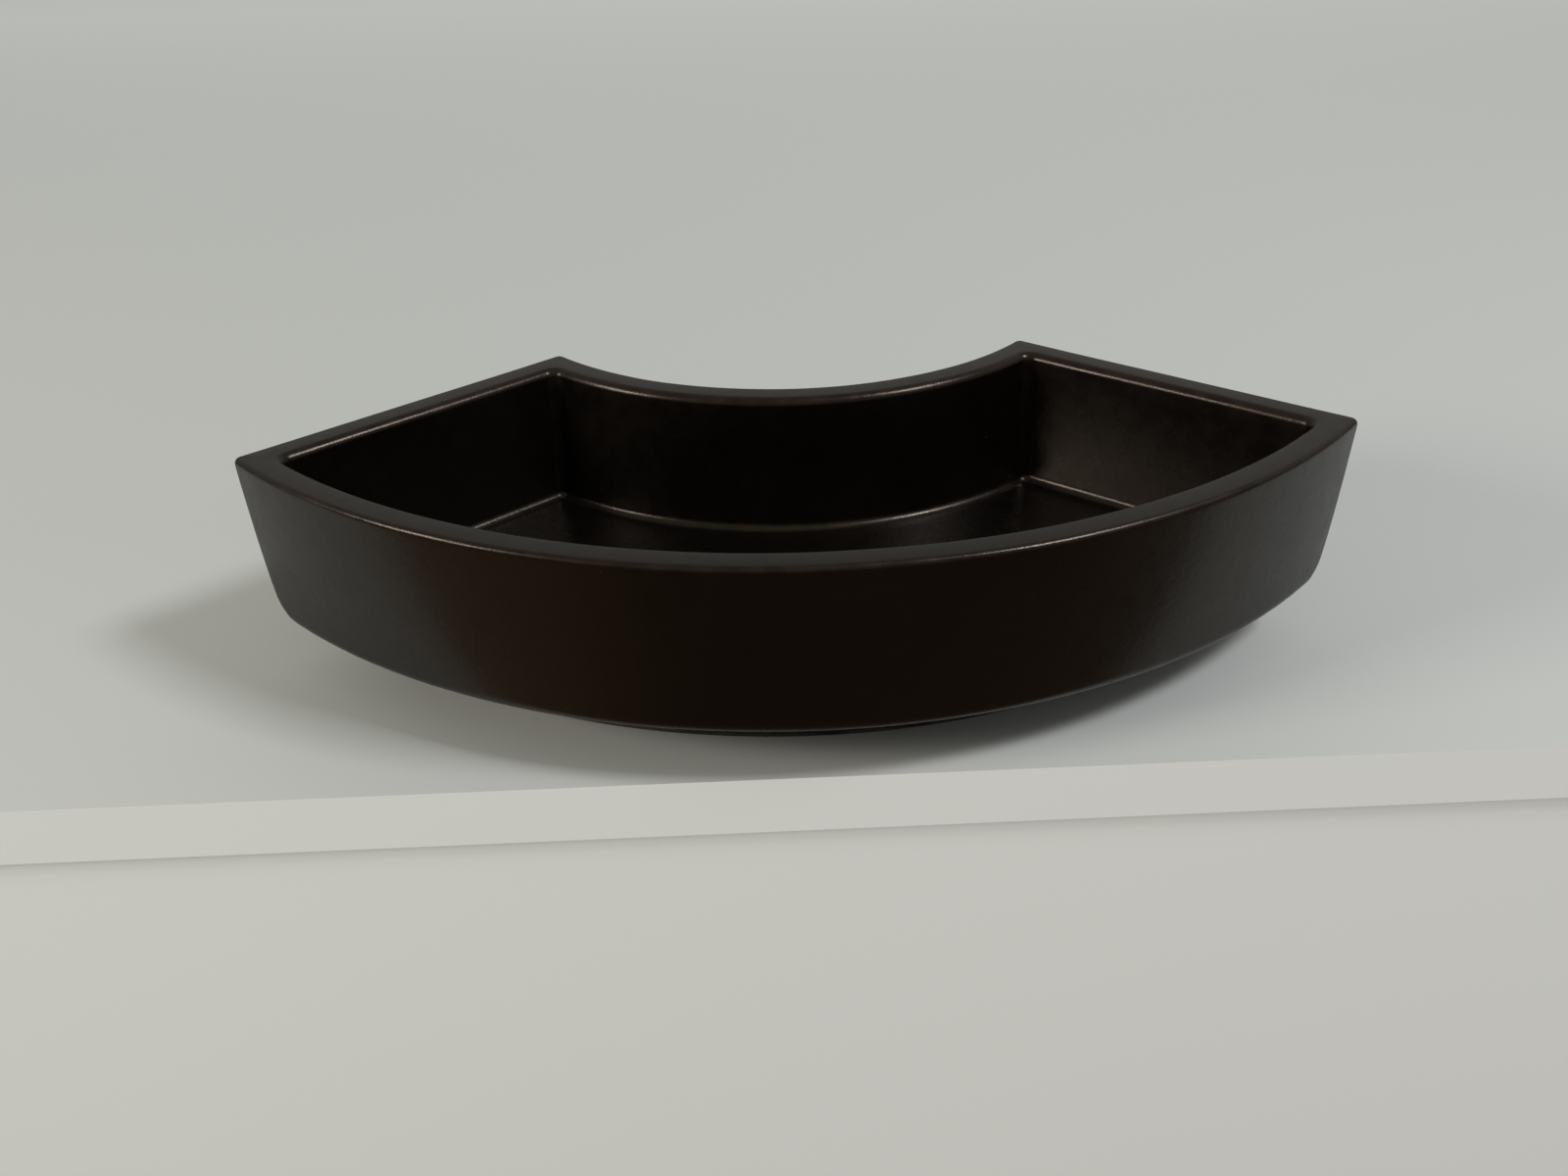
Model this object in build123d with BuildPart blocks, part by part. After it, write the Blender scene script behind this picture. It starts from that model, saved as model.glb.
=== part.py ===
from build123d import *
from math import cos, radians, sin, sqrt
import os

# A fan-shaped flower dish of glazed clay, built up from slabs: a floor between
# four upright walls, fine coils smoothed into the inner corners, and a foot ring.
# X runs along the dish, Y from its long front arc to its short back arc, Z up.
# The origin is under the middle of the dish, on the surface that it stands on.
# An inset is how far a line lies inside the outline of the rim.

# The fan's outline at the rim: its back arc is a share of its front one
front_radius = 215.0
back_share = 0.465
half_angle = 50.0

# Heights above the surface that the dish stands on
height = 71.5
foot_height = 18.5

# The slabs, and how far their faces lean between top and bottom
rim_thickness = 9.5
floor_thickness = 10.0
outer_lean = 2.1
inner_lean = 5.0

# The rounded edges, and how much larger than them the corners beside them are
rim_outer_round = 1.5
rim_inner_round = 2.5
lower_round = 3.8
lower_corner_radius = 8.0
floor_round = 2.8
corner_ease = 0.6

# The coils in the inner corners, and how deep they are bedded into the slabs
floor_coil_leg = 3.2
floor_coil_bed = 1.0
upright_coil_radius = 3.6
upright_coil_shift = 1.1
upright_coil_root = 2.0
cut_overrun = 2.0

# The foot ring under the floor, set in by a share of the dish's depth between its arcs
foot_setback_share = 0.235
foot_thickness = 9.0
foot_corner_radius = 6.0
foot_round = 1.2

# What follows from them
half_spread = radians(half_angle)
floor_level = foot_height + floor_thickness
floor_inset = rim_thickness + inner_lean
lean_slope = inner_lean / (height - floor_level)
back_radius = back_share * front_radius
foot_inset = foot_setback_share * (front_radius - back_radius)
rim_corner_radius = rim_outer_round + corner_ease
inner_corner_radius = floor_round + corner_ease
back_corner_span = sqrt((back_radius + rim_corner_radius) ** 2 - rim_corner_radius**2)
back_reach = (
    back_corner_span * cos(half_spread) + rim_corner_radius * sin(half_spread) - rim_corner_radius
)
centre_y = (front_radius + back_reach) / 2
arcs = {"front": -1, "back": 1}
sides = {"left": -1, "right": 1}

os.makedirs("parts", exist_ok=True)


def arc_radius(arc, inset):
    """Radius of the front or back arc at an inset."""
    return {"front": front_radius, "back": back_radius}[arc] + arcs[arc] * inset


def arc_middle(arc, inset):
    """Middle of the front or back arc at an inset."""
    return Vector(0, centre_y - arc_radius(arc, inset))


def fan_corner(arc, side, inset):
    """Where an arc meets the straight line of an end, both at an inset."""
    along = sqrt(arc_radius(arc, inset) ** 2 - inset**2)
    x = along * sin(half_spread) - inset * cos(half_spread)
    y = centre_y - along * cos(half_spread) - inset * sin(half_spread)
    return Vector(sides[side] * x, y)


def fan_face(inset, level, corner_radius=0):
    """The fan's outline at an inset, as a level face."""
    with BuildSketch(Plane.XY.offset(level)) as face:
        with BuildLine():
            for arc in arcs:
                left, right = (fan_corner(arc, side, inset) for side in sides)
                ThreePointArc(left, arc_middle(arc, inset), right)
            for side in sides:
                Line(*(fan_corner(arc, side, inset) for arc in arcs))
        make_face()
        if corner_radius > 0:
            fillet(face.vertices(), corner_radius)
    return face.sketch


def leaning_block(inset, level, top, corner_radius=0):
    """A fan-shaped block that widens upwards as the inner faces of the walls do."""
    top_inset = inset - lean_slope * (top - level)
    faces = [fan_face(inset, level, corner_radius), fan_face(top_inset, top, corner_radius)]
    return loft(faces, ruled=True, mode=Mode.PRIVATE)


def end_zone(side, outer_inset, inner_inset):
    """An upright block round one end of a ring, its slanting faces at the mitred corners."""
    faces = []
    for arc in arcs:
        outer, inner = (fan_corner(arc, side, inset) for inset in (outer_inset, inner_inset))
        overrun = (inner - outer).normalized() * cut_overrun
        faces.append((outer - overrun, inner + overrun))
    (front_outer, front_inner), (back_outer, back_inner) = faces
    with BuildPart() as zone:
        with BuildSketch():
            with BuildLine():
                Polyline(front_outer, front_inner, back_inner, back_outer, close=True)
            make_face()
        extrude(amount=height + cut_overrun)
    return zone.part


def strips(ring, outer_inset, inner_inset):
    """The front, back, left and right strips of a ring, parted at its mitred corners."""
    zones = {side: end_zone(side, outer_inset, inner_inset) for side in sides}
    with BuildPart() as arc_strips:
        add(ring.part)
        add(list(zones.values()), mode=Mode.SUBTRACT)
    pair = arc_strips.solids().sort_by(SortBy.VOLUME)[-len(arcs) :]
    parted = dict(zip(arcs, pair.sort_by(Axis.Y)))
    for side, zone in zones.items():
        with BuildPart() as end_strip:
            add(ring.part)
            add(zone, mode=Mode.INTERSECT)
        parted[side] = end_strip.solids().sort_by(SortBy.VOLUME)[-1]
    return parted


def finish(piece, name):
    """Name a finished piece and write it."""
    piece.part.label = name
    export_step(piece.part, f"parts/{name}.step")


# The hollow inside the dish, rounded where the coils are smoothed over
with BuildPart() as hollow:
    add(leaning_block(floor_inset, floor_level, height, inner_corner_radius))
    fillet(hollow.faces().sort_by(Axis.Z)[0].edges(), floor_round)

# The whole dish without its foot. The clay is smoothed over as one surface, so
# each slab and coil below is cut out of this shape, and they meet face to face.
with BuildPart() as dish:
    outline_below = fan_face(outer_lean, foot_height, lower_corner_radius)
    outline_above = fan_face(0, height, rim_corner_radius)
    loft([outline_below, outline_above], ruled=True)
    fillet(dish.faces().sort_by(Axis.Z)[-1].edges(), rim_outer_round)
    fillet(dish.faces().sort_by(Axis.Z)[0].edges(), lower_round)
    add(hollow.part, mode=Mode.SUBTRACT)
    fillet(dish.faces().sort_by(Axis.Z)[-1].inner_wires()[0].edges(), rim_inner_round)


def upright_coil(arc, side):
    """A round coil along the slanting line of an inner corner, rooted below the floor."""
    bottom = fan_corner(arc, side, floor_inset + upright_coil_shift) + Vector(0, 0, floor_level)
    top = fan_corner(arc, side, rim_thickness + upright_coil_shift) + Vector(0, 0, height)
    upwards = (top - bottom).normalized()
    root = bottom - upwards * upright_coil_root
    length = (top - root).length + cut_overrun
    with BuildPart() as coil:
        with BuildSketch(Plane(root, z_dir=upwards)):
            Circle(upright_coil_radius)
        extrude(amount=length)
    return coil.part


# The upright coils in the four inner corners
upright_coils = []
for arc in arcs:
    for side in sides:
        upright_coils.append(upright_coil(arc, side))
        with BuildPart() as corner_coil:
            add(dish.part)
            add(upright_coils[-1], mode=Mode.INTERSECT)
        finish(corner_coil, f"corner_coil_{arc}_{side}")

# The coils along the floor, each between two upright ones
with BuildPart() as floor_band:
    band_level = floor_level - floor_coil_bed
    band_height = floor_coil_bed + floor_coil_leg
    extrude(fan_face(floor_inset - floor_coil_bed, band_level), amount=band_height)
    inner_face = fan_face(floor_inset + floor_coil_leg, band_level)
    extrude(inner_face, amount=band_height, mode=Mode.SUBTRACT)

with BuildPart() as coil_ring:
    add(dish.part)
    add(floor_band.part, mode=Mode.INTERSECT)
    add(upright_coils, mode=Mode.SUBTRACT)

coil_strips = strips(coil_ring, floor_inset - floor_coil_bed, floor_inset + floor_coil_leg)
for place, strip in coil_strips.items():
    with BuildPart() as floor_coil:
        add(strip)
    finish(floor_coil, f"floor_coil_{place}")

# The floor, butted between the walls
with BuildPart() as floor_block:
    extrude(fan_face(floor_inset, foot_height), amount=floor_thickness + floor_coil_leg)

with BuildPart() as floor_slab:
    add(dish.part)
    add(floor_block.part, mode=Mode.INTERSECT)
    add([floor_band.part, *upright_coils], mode=Mode.SUBTRACT)
finish(floor_slab, "floor_slab")

# The four walls, mitred at the outer corners
wall_names = {
    "front": "front_wall",
    "back": "back_wall",
    "left": "left_end_wall",
    "right": "right_end_wall",
}
with BuildPart() as wall_ring:
    add(dish.part)
    add([floor_block.part, floor_band.part, *upright_coils], mode=Mode.SUBTRACT)

for place, strip in strips(wall_ring, 0, floor_inset).items():
    with BuildPart() as wall:
        add(strip)
    finish(wall, wall_names[place])

# The foot ring, set in under the floor and mitred like the walls
with BuildPart() as foot_ring:
    extrude(fan_face(foot_inset, 0, foot_corner_radius), amount=foot_height)
    extrude(fan_face(foot_inset + foot_thickness, 0), amount=foot_height, mode=Mode.SUBTRACT)
    fillet(foot_ring.faces().sort_by(Axis.Z)[0].outer_wire().edges(), foot_round)

for place, strip in strips(foot_ring, foot_inset, foot_inset + foot_thickness).items():
    with BuildPart() as foot_strip:
        add(strip)
    finish(foot_strip, f"foot_{place}")

size = dish.part.bounding_box().size
print(f"across {size.X:.2f}, deep {size.Y:.2f}, high {height:.2f} mm")
print(f"holds {hollow.part.volume / 1000:.0f} ml to the brim")
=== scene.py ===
# %% [markdown]
# # A fan-shaped flower dish in satin black glaze
#
# The object is a low, open dish for arranging flowers. Seen from above it is a
# fan: a long arc in front, a short one behind, and two straight ends that aim at
# one centre. Its CAD model is loaded as a fixed frame, and this lesson gives
# each of its pieces a finer mesh, a glaze or a clay, light and a camera.

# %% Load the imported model
from math import atan2, cos, pi, radians, sin, tan

import bmesh
import bpy
from mathutils import Matrix, Vector
from mathutils.kdtree import KDTree


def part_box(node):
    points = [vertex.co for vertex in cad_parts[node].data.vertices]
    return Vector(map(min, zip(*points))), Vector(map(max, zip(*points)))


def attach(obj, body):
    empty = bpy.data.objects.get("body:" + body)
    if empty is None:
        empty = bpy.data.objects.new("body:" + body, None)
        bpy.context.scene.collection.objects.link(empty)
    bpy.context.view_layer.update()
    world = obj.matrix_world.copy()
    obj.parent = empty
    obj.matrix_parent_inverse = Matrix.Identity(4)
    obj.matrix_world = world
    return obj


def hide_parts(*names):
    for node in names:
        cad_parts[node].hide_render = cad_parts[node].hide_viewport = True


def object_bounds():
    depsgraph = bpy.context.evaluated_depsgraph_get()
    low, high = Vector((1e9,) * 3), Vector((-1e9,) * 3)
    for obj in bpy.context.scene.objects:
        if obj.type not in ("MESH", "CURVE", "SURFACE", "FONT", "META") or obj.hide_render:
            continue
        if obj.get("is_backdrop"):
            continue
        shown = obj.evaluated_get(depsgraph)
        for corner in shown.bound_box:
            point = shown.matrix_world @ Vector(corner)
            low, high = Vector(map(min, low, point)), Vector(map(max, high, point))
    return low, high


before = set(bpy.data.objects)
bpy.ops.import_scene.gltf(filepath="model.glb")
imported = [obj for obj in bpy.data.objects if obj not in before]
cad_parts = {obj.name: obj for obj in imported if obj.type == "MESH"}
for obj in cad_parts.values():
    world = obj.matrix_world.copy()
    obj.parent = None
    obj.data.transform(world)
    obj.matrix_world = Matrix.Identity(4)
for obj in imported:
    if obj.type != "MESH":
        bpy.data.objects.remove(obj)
cad_low, cad_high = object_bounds()
box_size = [round(v * 1000, 1) for v in cad_high - cad_low]
print("nodes:", len(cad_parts), "box in mm:", box_size)

# %% [markdown]
# The camera comes first, because every comparison with the photograph depends on
# it. A camera could be placed by eye. Here its place, its three turns and its
# lens were solved from points measured in the photograph, which are the rim's
# corners, the arcs and the foot, so that the dish lands on the same pixels.

# %% Camera
frame_width = 1600
focal_pixels = 1478.0
yaw, pitch, roll = 0.0333, -0.5303, -0.0214
camera_place = (-0.01903, -0.38296, 0.24654)
ahead = Vector((sin(yaw) * cos(pitch), cos(yaw) * cos(pitch), sin(pitch)))
level_right = Vector((cos(yaw), -sin(yaw), 0))
level_up = level_right.cross(ahead)
right = level_right * cos(roll) + level_up * sin(roll)
up = level_up * cos(roll) - level_right * sin(roll)

camera = bpy.data.objects.new("camera", bpy.data.cameras.new("camera"))
bpy.context.scene.collection.objects.link(camera)
camera.data.sensor_width = 36
camera.data.lens = focal_pixels / frame_width * camera.data.sensor_width
camera.data.clip_start = 0.01
turned = Matrix((right, up, -ahead)).transposed().to_4x4()
camera.matrix_world = Matrix.Translation(camera_place) @ turned
bpy.context.scene.camera = camera
print("lens in mm:", round(camera.data.lens, 2))

# %% [markdown]
# Every line of the dish follows one rule, so the sizes behind it are named once.
# An *inset* is how far a line lies inside the outline of the rim. The heights
# and the fan's centre are read from the CAD solids, so both models agree.

# %% Sizes in metres
front_radius = 0.215
back_radius = 0.465 * front_radius
half_angle = radians(50)
foot_inset = 0.235 * (front_radius - back_radius)
fan_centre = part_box("foot_front")[0].y + front_radius - foot_inset
rim_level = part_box("front_wall")[1].z
foot_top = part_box("foot_front")[1].z
floor_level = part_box("floor_slab")[1].z

rim_thickness = 0.0095
outer_lean, inner_lean = 0.0021, 0.005
floor_inset = rim_thickness + inner_lean
coil_leg, coil_bed = 0.0032, 0.001
foot_thickness = 0.009
levels = (foot_top, floor_level, rim_level)
print("fan centre at y in mm:", round(fan_centre * 1000, 2))
print("levels in mm:", [round(level * 1000, 1) for level in levels])

# %% [markdown]
# A wall, a floor coil and a foot strip are all the same thing: one small
# cross-section that is carried along the fan's outline. A section is a closed
# list of points. Each has an inset, a height, and the radius that its line has
# where it goes round a corner of the fan. A plain sweep would keep that radius
# the same everywhere, but the real corners are tight at the rim and soft below.
#
# Three more facts go with each point. *Bed* is how deep it sinks at the corners,
# to make room for the upright coils. *Shown* is 0 where two pieces are joined.
# *Edge break and highlight* lightens the glaze to brown: partly where glaze ran
# thin on sharp edges, partly a painted highlight along roundings, coves and corners.

# %% Helpers for sections
class SectionPoint:
    """One point of a cross-section, in metres."""

    def __init__(self, inset, height, corner=0.0, bed=0.0, shown=1.0, edge_break_and_highlight=0.0):
        self.inset, self.height, self.corner = inset, height, corner
        self.bed, self.shown, self.edge_break_and_highlight = bed, shown, edge_break_and_highlight


def rounding(before, corner, after, radius, steps, spine, edge_break_and_highlight):
    """The points that round a section's corner, from (inset, height) pairs.
    The spine is inset plus corner radius, which stays the same round a rolled edge."""
    tip = Vector(corner)
    back, onward = ((Vector(p) - tip).normalized() for p in (before, after))
    half = back.angle(onward) / 2
    middle = tip + (back + onward).normalized() * (radius / sin(half))
    first, last = (tip + side * (radius / tan(half)) - middle for side in (back, onward))
    start = atan2(first.y, first.x)
    turn = (atan2(last.y, last.x) - start + pi) % (2 * pi) - pi
    points = []
    for step in range(steps + 1):
        share = step / steps
        angle = start + turn * share
        inset, height = middle.x + radius * cos(angle), middle.y + radius * sin(angle)
        # Brown edge break plus painted highlight, strongest in the middle of the rounding.
        break_and_highlight_here = edge_break_and_highlight * sin(pi * share)
        points.append(SectionPoint(inset, height, max(spine - inset, 0), edge_break_and_highlight=break_and_highlight_here))
    return points


def straight(first, last, shares):
    """Points between two section points, at the given shares of the way."""
    names = ("inset", "height", "corner", "bed", "shown", "edge_break_and_highlight")
    rows = []
    for share in shares:
        values = (getattr(first, n) * (1 - share) + getattr(last, n) * share for n in names)
        rows.append(SectionPoint(*values))
    return rows


def even_rows(count, edge=0.02):
    """Even shares of a straight run, with one close to each end to keep it crisp."""
    return [edge] + [(k + 1) / (count + 1) for k in range(count)] + [1 - edge]


print("rows of a straight run:", even_rows(3))

# %% [markdown]
# The wall's section starts at its joint with the floor, runs under the dish,
# round the soft lower edge, up the leaning outer face, over the rim and down
# inside to where the floor coil begins. Its three rounded edges come first. A
# bevel on the finished wall would round them too, but not each in its own way.

# %% Section of a wall
rim_corner, lower_corner, inner_corner = 0.0021, 0.0073, 0.0034
corner_slack = 0.0003
lower_radius, outer_radius, inner_radius = 0.0042, 0.0015, 0.0025

under_joint = (floor_inset, foot_top)
outer_foot, outer_top = (outer_lean, foot_top), (0.0, rim_level)
inner_top, inner_foot = (rim_thickness, rim_level), (floor_inset, floor_level)
coil_top = floor_level + coil_leg
lean_slope = inner_lean / (rim_level - floor_level)
inset_at_coil = floor_inset - lean_slope * coil_leg

lower_spine = outer_lean + lower_corner - corner_slack
outer_spine = rim_corner + corner_slack
inner_spine = rim_thickness + inner_corner + corner_slack
# The last number sets each rounding's brown edge break and painted highlight.
lower_round = rounding(under_joint, outer_foot, outer_top, lower_radius, 10, lower_spine, 0.35)
outer_round = rounding(outer_foot, outer_top, inner_top, outer_radius, 10, outer_spine, 1.0)
inner_round = rounding(outer_top, inner_top, inner_foot, inner_radius, 12, inner_spine, 1.0)
print("rounded edges:", len(lower_round), len(outer_round), len(inner_round), "points")

# %% [markdown]
# The upright outer corners are tight at the rim, grow softer down the wall, and
# close to the foot they round off like a ball, as a wet sponge leaves them. A
# fillet has one radius all along, so here each height gets its own.

# %% Outer corners that grow softer downwards
growth_pace, growth_power = 1.05, 3
ball_reach, ball_growth, ball_power = 0.0078, 0.0062, 1.5
outer_face = straight(lower_round[-1], outer_round[0], even_rows(24))
for point in outer_face:
    share = (rim_level - point.height) / (rim_level - foot_top)
    grown = min(share * growth_pace, 1) ** growth_power
    point.corner = rim_corner + (lower_round[-1].corner - rim_corner) * grown
for point in lower_round + outer_face:
    near_foot = max(1 - (point.height - foot_top) / ball_reach, 0)
    point.corner += ball_growth * near_foot**ball_power
corner_radii = [point.corner for point in lower_round + outer_face]
print("outer corner radius in mm:", [round(f(corner_radii) * 1000, 1) for f in (min, max)])

# %% [markdown]
# Straight runs join the rounded edges into one closed line. Its last three
# points are hidden in the clay. The rim isn't quite flat: a potter's sponge
# leaves it a little crowned, so its points sink away from its middle.

# %% The wall's whole section
upright_bed, bed_corner = 0.0012, 0.004
rim_crown, crown_reach = 0.0002, 0.004
bed_inset, bed_level = floor_inset - coil_bed, floor_level - coil_bed
coil_line = SectionPoint(inset_at_coil, coil_top, inner_corner)
inner_face = straight(inner_round[-1], coil_line, [0.0, *even_rows(16), 1.0])
for point in inner_face:
    point.bed = upright_bed

wall_section = [SectionPoint(*under_joint), *lower_round, *outer_face, *outer_round]
wall_section += straight(outer_round[-1], inner_round[0], even_rows(3, 0.06))
wall_section += [*inner_round, *inner_face]
wall_section.append(SectionPoint(bed_inset, coil_top, bed_corner, shown=0.0))
wall_section.append(SectionPoint(bed_inset, bed_level, bed_corner, shown=0.0))
wall_section.append(SectionPoint(floor_inset, bed_level, shown=0.0))

for point in wall_section:
    if point.height > rim_level - crown_reach:
        off_middle = (point.inset - rim_thickness / 2) / (rim_thickness / 2)
        point.height -= rim_crown * off_middle**2
print("wall section:", len(wall_section), "points")

# %% [markdown]
# The coil along the floor is what turns the hard corner of wall and floor into a
# soft one. Its shown side leaves the wall straight, goes round a hollow curve and
# ends flat on the floor. Its other sides are bedded into both.

# %% Section of a floor coil
cove_radius = 0.0028
cove_spine = floor_inset + inner_corner - corner_slack
further_in = (0.05, floor_level)
# The cove's brown line is a painted highlight along the floor joint.
cove = rounding(inner_top, inner_foot, further_in, cove_radius, 12, cove_spine, 0.5)
coil_section = [coil_line, *cove, SectionPoint(floor_inset + coil_leg, floor_level)]
coil_section.append(SectionPoint(floor_inset + coil_leg, bed_level, shown=0.0))
coil_section.append(SectionPoint(bed_inset, bed_level, bed_corner, shown=0.0))
coil_section.append(SectionPoint(bed_inset, coil_top, bed_corner, shown=0.0))
print("floor coil section:", len(coil_section), "points")

# %% [markdown]
# The foot strip is a plain upright band with worn edges. Extra rows of points
# beside the rounded edges keep the faces between them flat.

# %% Section of a foot strip
foot_corner, foot_outer_radius, foot_inner_radius = 0.006, 0.0012, 0.0008
foot_back = foot_inset + foot_thickness
outer_edge, inner_edge = (foot_inset, 0.0), (foot_back, 0.0)
foot_tops = [(foot_inset, foot_top), (foot_back, foot_top)]
foot_spine = foot_inset + foot_corner
foot_outer = rounding(
    foot_tops[0], outer_edge, inner_edge, foot_outer_radius, 6, foot_spine, 0.0
)
foot_inner = rounding(outer_edge, inner_edge, foot_tops[1], foot_inner_radius, 5, foot_back, 0.0)
foot_section = [SectionPoint(*foot_tops[0], foot_corner)]
foot_section += straight(foot_section[0], foot_outer[0], even_rows(5))
foot_section += foot_outer
foot_section += straight(foot_outer[-1], foot_inner[0], even_rows(2, 0.05))
foot_section += foot_inner
foot_section.append(SectionPoint(*foot_tops[1]))
foot_section += straight(foot_section[-1], foot_section[0], [0.5])
foot_section[-1].shown = 0.0
print("foot section:", len(foot_section), "points")

# %% [markdown]
# Geometry nodes carry the sections round the fan, because the whole dish is one
# rule with a few numbers. A script that pushed each vertex would also do, but a
# node tree stays readable and its inputs can be changed later. Three short
# helpers add nodes, and a fourth starts a tree with named inputs.

# %% Helpers for node trees
def add_node(tree, kind, inputs=None, **settings):
    """Add a node, set its options, and set or link its inputs."""
    made = tree.nodes.new(kind)
    for name, value in settings.items():
        setattr(made, name, value)
    for key, value in (inputs or {}).items():
        if isinstance(value, bpy.types.NodeSocket):
            tree.links.new(value, made.inputs[key])
        else:
            made.inputs[key].default_value = value
    return made


def calc(tree, operation, *values, clamp=False):
    """Add a Math node and return its result."""
    inputs = dict(enumerate(values))
    return add_node(tree, "ShaderNodeMath", inputs, operation=operation, use_clamp=clamp).outputs[0]


def vector(tree, operation, first, second):
    """Add a Vector Math node and return its result."""
    made = add_node(tree, "ShaderNodeVectorMath", {0: first, 1: second}, operation=operation)
    return made.outputs["Value" if operation == "DOT_PRODUCT" else "Vector"]


def start_tree(name, inputs, outputs):
    """A new geometry node tree with named inputs and outputs."""
    tree = bpy.data.node_groups.new(name, "GeometryNodeTree")
    for direction, sockets in (("INPUT", inputs), ("OUTPUT", outputs)):
        for label, kind in sockets.items():
            tree.interface.new_socket(name=label, in_out=direction, socket_type="NodeSocket" + kind)
    given = tree.nodes.new("NodeGroupInput").outputs
    result = tree.nodes.new("NodeGroupOutput").inputs
    return tree, given, result


print("helpers: add_node, calc, vector, start_tree")

# %% [markdown]
# Clay that was rolled, cut and sponged by hand is never quite true. This small
# tree moves a point by up to 0.4 mm with slow noise. It only shrinks the dish and
# never grows it, so the piece stays inside its CAD box, and the foot stays level.
# Every piece uses it, so neighbours move together.

# %% Tree: hand-made unevenness
shape_inputs = {
    "Front radius": "Float",
    "Back radius": "Float",
    "Half angle": "Float",
    "Fan centre": "Float",
    "Unevenness": "Vector",
    "Seed": "Float",
}
uneven_tree, given, result = start_tree(
    "hand_made",
    {"Position": "Vector", "Unevenness": "Vector", "Seed": "Float"},
    {"Position": "Vector"},
)
wobble = add_node(
    uneven_tree,
    "ShaderNodeTexNoise",
    {"Vector": given["Position"], "W": given["Seed"]}
    | {"Scale": 26.0, "Detail": 2.0, "Roughness": 0.45},
    noise_dimensions="4D",
)
pull = vector(uneven_tree, "MULTIPLY", wobble.outputs["Color"], given["Unevenness"])
keep = vector(uneven_tree, "SUBTRACT", (1.0, 1.0, 1.0), pull)
moved = vector(uneven_tree, "MULTIPLY", given["Position"], keep)
uneven_tree.links.new(moved, result["Position"])
unevenness = (0.0022, 0.0045, 0.0055)
print("greatest shift in mm:", [round(u * s * 1000, 2) for u, s in zip(unevenness, cad_high)])

# %% [markdown]
# The fan's rule. A point of the outline is a point of a sharp-cornered fan that
# lies deeper, plus the corner radius along the outward direction. *Along* walks
# one side from 0 to 1. *Turn* swings the outward direction at the side's start
# or end by half a corner, and by a whole corner at 2. The sides are the front
# arc (0), the back arc (1) and an end (2). All are worked out, then one is kept.

# %% Tree: a point on the fan
rule_tree, given, result = start_tree(
    "fan_rule",
    {"Side": "Float", "Along": "Float", "Turn start": "Float", "Turn end": "Float"}
    | {"Inset": "Float", "Corner radius": "Float", "Height": "Float"}
    | shape_inputs,
    {"Position": "Vector"},
)


def do(operation, *values):
    """A Math node in the rule's tree."""
    return calc(rule_tree, operation, *values)


def blend(first, last, share):
    """Between two values in the rule's tree."""
    return do("MULTIPLY_ADD", do("SUBTRACT", last, first), share, first)


print("rule:", len(rule_tree.interface.items_tree), "sockets")

# %% [markdown]
# On an arc, a point lies on a circle round the fan's centre. An end that is set
# in runs beside the line to that centre, so it meets the circle a little before
# the fan's full angle. The arcsine says how much.

# %% The rule on the arcs
alpha = given["Half angle"]
depth = do("ADD", given["Inset"], given["Corner radius"])
front = do("SUBTRACT", given["Front radius"], depth)
back = do("ADD", given["Back radius"], depth)
front_reach = do("SUBTRACT", alpha, do("ARCSINE", do("DIVIDE", depth, front)))
back_reach = do("SUBTRACT", alpha, do("ARCSINE", do("DIVIDE", depth, back)))
front_turn = do("SUBTRACT", do("ADD", alpha, pi / 2), front_reach)
back_turn = do("SUBTRACT", do("ADD", back_reach, pi / 2), alpha)

is_back = do("COMPARE", given["Side"], 1.0, 0.5)
is_end = do("COMPARE", given["Side"], 2.0, 0.5)
arc = blend(front, back, is_back)
arc_reach = blend(front_reach, back_reach, is_back)
arc_turn = blend(front_turn, back_turn, is_back)
arc_angle = do("MULTIPLY", arc_reach, do("MULTIPLY_ADD", given["Along"], 2.0, -1.0))
swing = do("SUBTRACT", given["Turn end"], given["Turn start"])
swing = do("MULTIPLY", swing, do("MULTIPLY", arc_turn, 0.5))
swing = do("MULTIPLY", swing, do("MULTIPLY_ADD", is_back, -2.0, 1.0))
arc_facing = do("ADD", do("MULTIPLY_ADD", is_back, pi, arc_angle), swing)
print("rule so far:", len(rule_tree.nodes), "nodes")

# %% [markdown]
# On an end, a point lies on the straight line between the ends of both arcs.
# Then the corner radius is added along the outward direction, and the point
# passes through the unevenness.

# %% The rule on the ends, and the place of a point
end_facing = do("ADD", alpha, pi / 2)
half_turn = do("MULTIPLY", front_turn, 0.5)
end_facing = do("SUBTRACT", end_facing, do("MULTIPLY", given["Turn start"], half_turn))
half_turn = do("MULTIPLY", back_turn, 0.5)
end_facing = do("MULTIPLY_ADD", given["Turn end"], half_turn, end_facing)

facing = blend(arc_facing, end_facing, is_end)
places = []
for function in ("SINE", "COSINE"):
    on_arc = do("MULTIPLY", arc, do(function, arc_angle))
    front_end = do("MULTIPLY", front, do(function, front_reach))
    back_end = do("MULTIPLY", back, do(function, back_reach))
    on_side = blend(on_arc, blend(front_end, back_end, given["Along"]), is_end)
    places.append(do("MULTIPLY_ADD", given["Corner radius"], do(function, facing), on_side))
place = add_node(
    rule_tree,
    "ShaderNodeCombineXYZ",
    {"X": places[0], "Y": do("SUBTRACT", given["Fan centre"], places[1]), "Z": given["Height"]},
)


def made_uneven(tree, position, given):
    """Pass a position through the hand-made unevenness."""
    inputs = {"Position": position, "Unevenness": given["Unevenness"], "Seed": given["Seed"]}
    return add_node(tree, "GeometryNodeGroup", inputs, node_tree=uneven_tree).outputs[0]


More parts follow.
